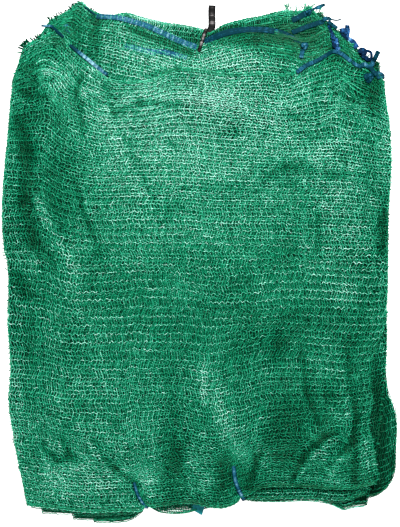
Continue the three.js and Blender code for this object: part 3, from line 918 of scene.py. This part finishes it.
def loose_edge(pile, sack):
    """Slanting threads of a loose lower edge. Every second one goes on to the cord, with open
    gaps between."""
    random = np.random.default_rng(LOOSE_SEED)
    top, middle, cord = curve(LOOSE_TOP), curve(LOOSE_NET), curve(LOOSE_CORD)
    level = sack.top(cord + PLAN_SHIFT).mean() - CORD_DEPTH
    for i, share in enumerate(np.linspace(0, 0.9, LOOSE_COUNT)):
        share = share + random.uniform(-0.006, 0.006)
        plan = [along(top, share), along(middle, share + 0.06), along(cord, share + 0.09)]
        points = np.column_stack([plan + PLAN_SHIFT, level + random.normal(0, 0.2, 3)])
        tone = (0.55 if i % 2 else 0.1) + random.normal(0, 0.12)
        pile.strand(points if i % 2 else points[:2], 1.1, 0.6, random.normal(0, 0.4), tone)
    n = LOOSE_POINTS
    run = np.linspace(0, 1, n)
    # These dark strands across the loose net are painted shade under the edges above them
    for blend in (0.4, 0.6, 0.8, 1.0):
        plan = mixed(blend, along(top, run), along(middle, run)) + PLAN_SHIFT
        points = np.column_stack([plan, np.full(n, level - 0.7)])
        pile.strand(points, 1.9, 0.8, 0.0, 0.15 + random.normal(0, 0.15, n), 4)
    points = np.column_stack([cord + PLAN_SHIFT, np.full(len(cord), level)])
    pile.strand(points, 2.3, CORD_HEIGHT, 0.2, 0.18 + random.normal(0, 0.2, len(cord)), 4)


def trim(pile, sack, seed):
    """A sack's loose ends, edge cords and bunched strands."""
    for settings in FRAYS[sack.index]:
        fray(pile, sack, *settings, seed)
    for places, thickness, tone in CORDS.get(sack.index, []):
        plan = curve(places) + PLAN_SHIFT
        level = np.full(len(plan), sack.top(plan).mean() - CORD_DEPTH)
        random = np.random.default_rng(CORD_SEED + sack.index)
        tone = tone + random.normal(0, 0.2, len(plan))
        points = np.column_stack([plan, level])
        pile.strand(points, thickness, CORD_HEIGHT, RANDOM.normal(0, 0.4), tone, 4)
    for stretch, settings in enumerate(GATHERS.get(sack.index, [])):
        gather(pile, sack, *settings, STRETCH_SEEDS * sack.index + stretch)


def core(sack, depth, grid):
    """A thin closed sheet inside a sack, for the plies that lie close behind those that show,
    darkened as painted shade.
    """
    u, v = (np.linspace(CORE_INSET / size, 1 - CORE_INSET / size, count)
            for size, count in zip((SACK_WIDTH, SACK_LENGTH), grid))
    plan = sack.place(u[None, :], v[:, None])
    upper = np.concatenate([plan, (sack.top(plan) - depth)[..., None]], axis=-1)
    sheet = Pile()
    tone = CORE_TONE + shade(plan, sack.behind, True)
    sheet.slab(upper, upper - [0, 0, CORE_THICKNESS], tone)
    sheet.made(f"sack_{sack.index + 1}_core", CORE, "net")


# Loose ends over stretches of the edges, by sack: line, number, length, width, tone
FRAYS = {
    0: [([(172, 235), (197, 219), (210, 201)], 26, 4, 1.2, 0.1),
        (LEFT_SIDE[1:], 80, 2.2, 1.2, 0.2), (RIGHT_SIDE, 60, 2, 1.2, 0.2)],
    1: [([(128, 258), (145, 267), (158, 260)], 16, 4, 1.2, 0.1)],
    2: [([(97, 289), (104, 292), (111, 289)], 14, 8, 1.2, 0.25),
        ([(115, 288), (125, 294), (140, 284)], 24, 6, 1.2, 0.15)],
    3: [([(103, 283), (125, 286), (140, 286)], 16, 6, 1.2, 0.15),
        ([(-100, 279), (-68, 276), (-20, 268)], 14, 5, 1.0, 0.3)],
    4: [([(149, 270), (158, 266), (166, 262)], 14, 5, 1.2, 0.1)],
    5: [([(160, 258), (172, 251), (182, 243)], 16, 5, 1.2, 0.1)],
    6: [([(180, 244), (196, 236), (208, 226)], 16, 4, 1.2, 0.1)],
}
# Dark teeth of cut net along the shoulders, by sack: line, number, length, width, tone
TEETH = {
    0: [([(-205, 240), (-201, 247), (-182, 257), (-163, 264)], 24, 5.4, 2.6, 0.3)],
    1: [([(-173, 276), (-153, 286), (-136, 298)], 24, 4.8, 2.4, 0.3),
        ([(-136, 298), (-125, 290), (-118, 285)], 8, 2.5, 1.6, 0.4)],
}
# Edge cords that hang apart from the net, by sack: places, thickness, tone
CORDS = {
    2: [([(58, -272), (86, -273), (126, -272), (150, -276), (164, -282), (172, -280),
          (188, -278)], 1.5, 0.7)],
    5: [([(-61, -277), (-50, -281), (-34, -285.5), (-11, -285), (14, -280)], 2.0, 0.2),
        ([(-118, -296), (-100, -294.5), (-84, -289), (-70, -281)], 2.0, 0.25)],
}
CORD_DEPTH, CORD_HEIGHT = 1, 0.9
# The loose edge of one sack between the left tie and the tag: the upper and the lower line of
# its net, the cord under it, and the number of threads
LOOSE_SACK = 4
LOOSE_TOP = [(-62, -270), (-40, -272), (-8, -270)]
LOOSE_NET = [
    (-61, -276), (-53, -281.5), (-46, -283.5), (-38, -283), (-24, -282.6), (-16, -284), (-8, -283),
]
LOOSE_CORD = [
    (-60, -277), (-52, -282.5), (-46, -285.2), (-38, -286.6), (-24, -287), (-12, -285.4),
    (-4, -282.5),
]
LOOSE_COUNT = 44
# Where the net is bunched along a mouth, by sack: shares across from and to, how far down,
# number of strands
GATHERS = {
    0: [(0.76, 0.99, 26, 16), (0.01, 0.16, 42, 18)],
    1: [(0.60, 0.98, 32, 26), (0.02, 0.2, 36, 16)],
    2: [(0.66, 0.98, 26, 24)],
}


# Where the back of a sack shows past the lowest one, by sack
def left_back(u, v):
    return u * SACK_WIDTH < 62


def right_back(u, v):
    return ((1 - u) * SACK_WIDTH < 90) & (v * SACK_LENGTH < 240)


BACKS = {3: left_back, 5: right_back}
# How far in from the edges a rim's net goes, and from the mouths, wider on the second sack
RIM_BAND, MOUTH_BAND, WIDE_MOUTH_BAND = 30, 60, 95
# Added to a sack's number for the seeds of its rim, its back and its teeth
RIM_SEED, BACK_SEED, TEETH_SEED = 10, 50, 60

front = Pile()
chains(front, SACKS[0], depth=0.5, fine=True, seed=1)
hem(front, SACKS[0], depth=0.6, insets=HEM_INSETS, seed=1)
trim(front, SACKS[0], seed=1)
front.made("sack_1_chains", GREEN, "net", ["sack_1"])
links = Pile()
wefts(links, SACKS[0], depth=0.5, fine=True, seed=1)
links.made("sack_1_wefts", GREEN, "net")
back = Pile()
# The back ply is painted darker, as shade deep under the front one
net(back, SACKS[0], depth=1.4, phase=0.6, seed=2, light=-0.16, drift=0.5, glints=0.06)
hem(back, SACKS[0], depth=1.6, insets=BACK_INSETS, seed=2)
back.made("sack_1_back", GREEN, "net")
core(SACKS[0], depth=1.9, grid=FINE_GRID)
for sack in SACKS[1:]:
    index = sack.index
    second = index == 1
    seed = RIM_SEED + index
    rim = Pile()
    keep = near_edge(RIM_BAND, WIDE_MOUTH_BAND if second else MOUTH_BAND)
    # The second sack's upper ply gets painted light and more painted glints; its lower ply below
    # gets painted shade
    light, glints = (0.08, 0.25) if second else (0, GLINTS)
    net(rim, sack, depth=0.6, keep=keep, fine=second, phase=0.3 * index, seed=seed, light=light,
        glints=glints)
    if second:
        keep = near_edge(0, WIDE_MOUTH_BAND)
        net(rim, sack, depth=1.0, keep=keep, fine=True, phase=0.8, seed=30, light=-0.3)
    hem(rim, sack, depth=0.7, insets=HEM_INSETS, seed=seed)
    if index < LAST:
        under_hem(rim, sack)
    if index in BACKS:
        net(rim, sack, depth=2.0, keep=BACKS[index], phase=0.5, seed=BACK_SEED + index)
    core(sack, 0.6 if index == LAST else 1.3, FINE_GRID if second else COARSE_GRID)
    trim(rim, sack, seed)
    if index == LOOSE_SACK:
        loose_edge(rim, sack)
    rim.made(f"sack_{index + 1}_net", GREEN, "net", [f"sack_{index + 1}"])
for index, stretches in TEETH.items():
    teeth = Pile()
    for settings in stretches:
        fray(teeth, SACKS[index], *settings, TEETH_SEED + index)
    teeth.made(f"sack_{index + 1}_fray", CORE, "net")
under = Pile()
net(under, SACKS[LAST], depth=1.5, phase=0.5, seed=40)
under.made("sack_7_back", GREEN, "net")

# Drawstrings, ties, strap and tag. A run of tape: points, lift over the net, then width and
# tone over its length. Its pale tones are painted highlights, and runs under the net are painted
# darker as shade
DRAWSTRINGS = [
    [([(-181, 270), (-176, 270), (-170, 270), (-162, 263), (-155, 257)], 1.0,
      [2.4, 2.6, 3.0, 3.6, 2.6], [0.0, 0.6, 0.6, -0.1, -0.2, -0.2, -0.2]),
     ([(-148, 248), (-137, 239), (-127, 231), (-116, 222), (-105, 214)], 1.0,
      [3.0, 4.2, 4.2, 4.2, 3.6], [0.0, 0.05, 0.4, 0.65, 0.7, 0.7, 0.65, 0.5, 0.3]),
     ([(-92, 201), (-56, 203), (-1, 213), (58, 210), (97, 210), (110, 216)], -2.8, [4.4], [0.3]),
     ([(110, 217), (120, 224), (135, 231), (151, 241)], 1.0, [5, 5, 4.6, 4.4],
      [0.42, 0.28, 0.12, 0.08]),
     ([(151, 241), (159, 239), (166, 234), (172, 229)], 1.2, [4.6, 4.4], [0.2, 0.32, 0.4, 0.32]),
     ([(173, 229), (178, 225), (183, 224), (187, 226), (192, 223), (196, 226)], 1.8,
      [5, 4.4, 5.6, 4.4, 5], [0.15, 0.45, 0.1, 0.5, 0.15, 0.45]),
     ([(196, 226), (200, 234), (203, 241)], 1.5, [5.4, 5.6], [0.25, 0.3, 0.2]),
     ([(194, 224), (197, 218), (202, 215)], 1.4, [5, 4.5], [0.05, 0.0]),
     ([(198, 214), (203, 216), (208, 215), (211, 211)], 1.8, [4.4, 4.6, 4.4],
      [0.05, 0.2, 0.4, 0.05]),
     ([(201, 211), (206, 212), (210, 214)], 2.0, [4.6], [0.05, 0.3, 0.1]),
     ([(-86, 247), (-56, 240), (-40, 240), (-15, 234)], -1.15, [7, 6], [0.45, 0.4, 0.45])],
    [([(-131, 292), (-125, 287), (-119, 282)], 0.7, [1.8], [0.0]),
     ([(-118, 281), (-96, 280), (-79, 276), (-62, 271), (-46, 264), (-25, 254), (-4, 246)], -0.2,
      [6, 7.2], [0.4, 0.46, 0.55, 0.46, 0.48, 0.5, 0.52]),
     ([(5, 252), (18, 258), (32, 263), (52, 266), (71, 266), (85, 264.4)], 0.3, [7, 7.4, 7, 6.6],
      [0.2, 0.08, 0.1, 0.12]),
     ([(85, 264.4), (92, 263), (105, 257), (115, 251)], -0.75, [6.4, 5.6, 4.6], [0.12, 0.05]),
     ([(117, 243), (116, 238), (115, 233)], 1.4, [5, 5], [0.25, 0.5]),
     ([(-156, 274), (-151, 268), (-148, 262)], -1.2, [7], [0.4])],
    [([(105, 263), (120, 269), (141, 276)], 0.6, [5.6], [0.0, 0.08, 0.1]),
     ([(140, 276), (143, 279), (147, 279), (150, 277)], 1.0, [4.6, 5, 4], [0.15, 0.35, 0.2]),
     ([(149, 278), (156, 277), (161, 278)], 1.2, [2.0], [0.0]),
     ([(146, 276), (151, 272), (157, 268)], 0.9, [4.2], [0.05, 0.1])],
    [([(105, 277), (115, 282), (121, 285)], 0.5, [6.5], [0.0, 0.12, 0.05]),
     ([(126, 288), (129, 290), (135, 292), (139, 294), (143, 295.5)], 1.0, [1.8, 2.4, 5.2, 4.4, 3],
      [0.0, 0.15, 0.45, 0.35, 0.0])],
    [([(146, 271), (149, 265), (151, 260), (153, 253), (156, 245), (158, 240)], 1.0,
      [2.8, 3.6, 4.6, 6.4, 6, 4.6], [0.1, 0.1, 0.3, 0.2, 0.2, 0.3]),
     ([(150, 257), (156, 254), (152, 248), (159, 243)], 2.2, [3.8], [0.1, 0.5, 0.1, 0.5])],
    [([(169, 273), (169, 265), (169, 258)], 1.4, [6, 6.5, 3.4], [0.25, 0.38, 0.3]),
     ([(160, 266), (165, 266), (168, 262)], 1.7, [5, 6.5, 4], [0.2, 0.38, 0.35]),
     ([(169, 258), (172, 255), (175, 253), (177, 249), (179, 245)], 1.4, [3.4, 7, 5.5, 6.5, 6],
      [0.4, 0.7, 0.15, 0.5, 0.3]),
     ([(161, 261), (165, 258), (169, 254)], 1.6, [2.8], [0.0])],
    [([(182, 240), (185, 245), (190, 243), (186, 239), (190, 236), (194, 233)], 1.6, [5],
      [0.0, 0.05, 0.0, 0.15, 0.0]),
     ([(191, 244), (196, 242), (197, 237), (194, 233), (190, 234)], 1.9, [3.2], [0.0, 0.0, 0.05])],
]
# Knots: drawstring, place, size, width, tone
KNOTS = [
    (0, (192, 211), 1.4, 4.4, 0.0),
    (1, (119, 247), 1.0, 3.8, 0.25),
    (3, (124, 286), 0.8, 3.2, 0.1),
    (4, (155, 248), 0.9, 3.4, 0.2),
    (6, (187, 240), 1.1, 4.0, 0.0),
]
KNOT_POINTS, KNOT_RISE, KNOT_LIFT = 22, 1.3, 1.4
# How much tapes roll, their thickness, half their width, and how thick knots and ties are
ROLL = 0.22
TAPE, HALF_TAPE, THICK_TAPE = 0.7, 3.5, 1.1
# The first drawstring with darker tape, and the lift below which a run lies flat in its hem
FIRST_NAVY, FLAT_LIFT = 4, -1


def resting(points, index):
    """Heights for a run of tape: on the highest sack under its points, smoothed along it."""
    plan = np.array(points, float) + PLAN_SHIFT
    height = np.full(len(plan), -1.0)
    for sack in SACKS:
        for reach in HALF_TAPE * np.array([(0, 0), (1, 0), (-1, 0), (0, 1), (0, -1)]):
            covered = np.where(sack.covers(plan + reach), sack.top(plan), -1.0)
            height = np.maximum(height, covered)
    height = np.where(height < 0, SACKS[index].top(plan), height)
    wide = np.concatenate([[height[0]] * 3, height, [height[-1]] * 3])
    parts = [wide[i:i + 7] for i in range(len(plan))]
    return np.array([part.max() * 0.4 + part.mean() * 0.6 for part in parts])


def knot(pile, centre, size, width, tone):
    t = np.linspace(0.2, 2 * math.pi - 0.2, KNOT_POINTS)
    x = np.sin(t) + 2 * np.sin(2 * t)
    y = np.cos(t) - 2 * np.cos(2 * t)
    path = np.column_stack([x * size, y * size, -np.sin(3 * t) * KNOT_RISE]) + centre
    tones = [tone, tone + 0.25, tone - 0.1, tone + 0.2, tone]
    pile.ribbon(curve(path, 1.0), width, THICK_TAPE, tone=tones, ridges=1)


# Stitches over a run of tape: drawstring, run, step between them, tone
STITCHES = [(1, 1, 3, 0.5)]
SEAM = Pile()
STRINGS = [Pile() for _ in DRAWSTRINGS]
for index, runs in enumerate(DRAWSTRINGS):
    for points, lift, width, tone in runs:
        plan = curve(points)
        height = np.maximum(resting(plan, index) + lift, LOWEST)
        roll = np.cumsum(RANDOM.normal(0, ROLL if lift > FLAT_LIFT else 0, 5))
        path = np.column_stack([plan + PLAN_SHIFT, height])
        STRINGS[index].ribbon(path, width, TAPE, roll - roll.mean(), tone)
for index, run, step, tone in STITCHES:
    points, lift, width, _ = DRAWSTRINGS[index][run]
    plan = curve(points)
    height = resting(plan, index) + lift + TAPE
    side, _ = frame_of(np.column_stack([plan, height]), np.zeros(len(plan)))
    for i in range(2, len(plan) - 2, step):
        lean = side[i, :2] + RANDOM.normal(0, 0.45, 2)
        ends = RANDOM.uniform(0.15, 0.65, 2)
        across = np.linspace(-ends[0], ends[1], 5)[:, None] * max(width) * lean
        across = across + plan[i] + PLAN_SHIFT
        arch = height[i] + np.array([-0.9, 0.1, 0.25, 0.1, -0.9])
        twist = RANDOM.normal(0, 0.4)
        stitch = np.column_stack([across, arch])
        SEAM.strand(stitch, 0.6, 0.4, twist, tone + RANDOM.normal(0, 0.2))
SEAM.made("sack_2_stitches", GREEN, "net")
for index, place, *settings in KNOTS:
    plan = np.array([place], float)
    centre = np.array([*(plan[0] + PLAN_SHIFT), resting(plan, index)[0] + KNOT_LIFT])
    knot(STRINGS[index], centre, *settings)
for index, string in enumerate(STRINGS):
    colour = NAVY if index >= FIRST_NAVY else BLUE
    string.made(f"drawstring_{index + 1}_tape", colour, "tape", [f"drawstring_{index + 1}"])


def grounded(path):
    """A smooth path through these points that stays over the surface below."""
    path = curve(np.array(path))
    path[:, 2] = np.maximum(path[:, 2], LOWEST)
    return path


def tie(name, hole, edge, width, bow):
    """A closed loop of tape, over the net from the hole to the edge and back underneath."""
    start, end = np.array(hole, float) + PLAN_SHIFT, np.array(edge, float) + PLAN_SHIFT
    ahead = (end - start) / np.linalg.norm(end - start)
    side = np.array([-ahead[1], ahead[0]])
    top = float(SACKS[0].top((start + end) / 2)) + 0.6
    path = grounded([
        (*(start - ahead * 0.3), 0.8), (*(start - ahead * 0.6), top - 4),
        (*(start + ahead * 1.0), top), (*(start * 0.6 + end * 0.4 + side * bow), top + 0.9),
        (*(start * 0.25 + end * 0.75 + side * bow * 0.7), top), (*end, top - 3.5),
        (*(end + ahead * 0.8), 8), (*(end - ahead * 0.5), 1.6), (*(end - ahead * 4), 0.9),
        (*(start * 0.5 + end * 0.5), 0.8), (*start, 0.8),
    ])
    loop = Pile()
    loop.ribbon(path, width, THICK_TAPE, tone=[0.2, 0.3, 0.36, 0.2, 0.15, 0.2], ridges=1)
    loop.made(f"{name}_tape", BLUE, "tape", [name])


tie("tie_left", *TIE_LEFT, width=3.6, bow=-2.0)
tie("tie_right", *TIE_RIGHT_TAPE, width=4.8, bow=-2.5)

# The strap starts a little way along its run, and its tail has pale bars of painted highlight on
# its crimps
STRAP_START = 0.16
STRAP_WIDTHS = [4, 4, 3.4, 4.4, 5, 4, 4]
STRAP_TONES = [0.4, 0.5, 0.6, 0.64, 0.4, 0.3, 0.3, 0.3, 0.3]
CRIMP_HIGHLIGHTS = [0.2, 0.2, 0.2, 0.2, 0.2, 0.7, 0.35, 0.2, 0.2, 0.7, 0.3, 0.2, 0.2, 0.15, 0.15]
TAIL = [(10, 262, 9.6), (13.5, 270, 9.2), (13.8, 278, 8.2), (13.6, 288, 5.8), (14, 296, 3.4)]
strap = Pile()
hole, edge = np.array(STRAP_RUN, float) + PLAN_SHIFT
hole = hole + STRAP_START * (edge - hole)
top = float(SACKS[1].top(edge)) + 2.4
path = grounded([
    (*hole, 0.9), (*hole, top - 3), (*(hole * 0.8 + edge * 0.2), top),
    (*(hole * 0.4 + edge * 0.6), top + 0.5), (*edge, top - 3), (*edge, 6),
    (*(edge * 0.9 + hole * 0.1), 0.9), (*hole, 0.9),
])
strap.ribbon(path, STRAP_WIDTHS, 1.0, tone=STRAP_TONES, ridges=1)
tail = np.array(TAIL)
tail[:, :2] += PLAN_SHIFT
strap.ribbon(curve(tail, 1.0), 8.4, TAPE, tone=CRIMP_HIGHLIGHTS, ridges=1)
strap.made("strap_film", BLACK, "strap", ["strap"])

TAG_CORNERS = [
    (-18, -262), (6, -262), (5, -280), (2.5, -289), (1, -289), (-14, -280), (-17, -275),
]
TAG_LEVELS = (4.65, 5.35)
tag = Pile()
corners = np.array(TAG_CORNERS, float) + PLAN_SHIFT
sides = [np.column_stack([corners, np.full(len(corners), z)]) for z in TAG_LEVELS]
tag.rings(np.stack(sides))
tag.made("tag_film", TEAL, "tag", ["tag"])

# Floor, light and camera
FLOOR_LEVEL, FLOOR_REACH = -0.0002, 40
FLOOR_CORNERS = ((-1, -1), (1, -1), (1, 1), (-1, 1))
WORLD_STRENGTH = 0.18
floor_mesh = bpy.data.meshes.new("floor")
floor_points = [(x * FLOOR_REACH, y * FLOOR_REACH, FLOOR_LEVEL) for x, y in FLOOR_CORNERS]
floor_mesh.from_pydata(floor_points, [], [(0, 1, 2, 3)])
floor = placed("floor", floor_mesh)
pale, pale_shader = material("pale_floor", 0.9, 0.0)
filled(pale_shader, {
    "Base Color": (0.9, 0.9, 0.9, 1), "Emission Color": (1, 1, 1, 1), "Emission Strength": 1.0,
})
floor_mesh.materials.append(pale)

world = bpy.data.worlds.new("studio")
bpy.context.scene.world = world
world.use_nodes = True
background = world.node_tree.nodes["Background"]
filled(background, {"Color": (1, 1, 1, 1), "Strength": WORLD_STRENGTH})


def lamp(name, place, aim, size, power):
    light = bpy.data.lights.new(name, "AREA")
    light.size = size
    light.energy = power
    holder = placed(name, light)
    holder.location = place
    ahead = Vector(aim) - Vector(place)
    holder.rotation_euler = ahead.to_track_quat("-Z", "Y").to_euler()


lamp("key", (0.2, 1.09, 1.62), (0, 0.03, 0), size=0.72, power=84)
lamp("fill", (-0.3, -1.0, 1.5), (0, -0.05, 0), size=1.0, power=15)

view = bpy.context.scene.view_settings
view.view_transform = "Standard"
view.look = "None"
# Height of the picture where the net lies, the net's own height, and the picture's middle
FRAME_HEIGHT, NET_LEVEL, MIDDLE_Y = 0.6008, 0.016, -0.00057
LENS, SENSOR = 100, 36
lens = bpy.data.cameras.new("camera")
lens.lens = LENS
lens.sensor_width = SENSOR
lens.clip_end = 20
camera = placed("camera", lens)
distance = FRAME_HEIGHT * LENS / SENSOR
camera.location = (PLAN_SHIFT[0] * MM, MIDDLE_Y, NET_LEVEL + distance)
bpy.context.scene.camera = camera
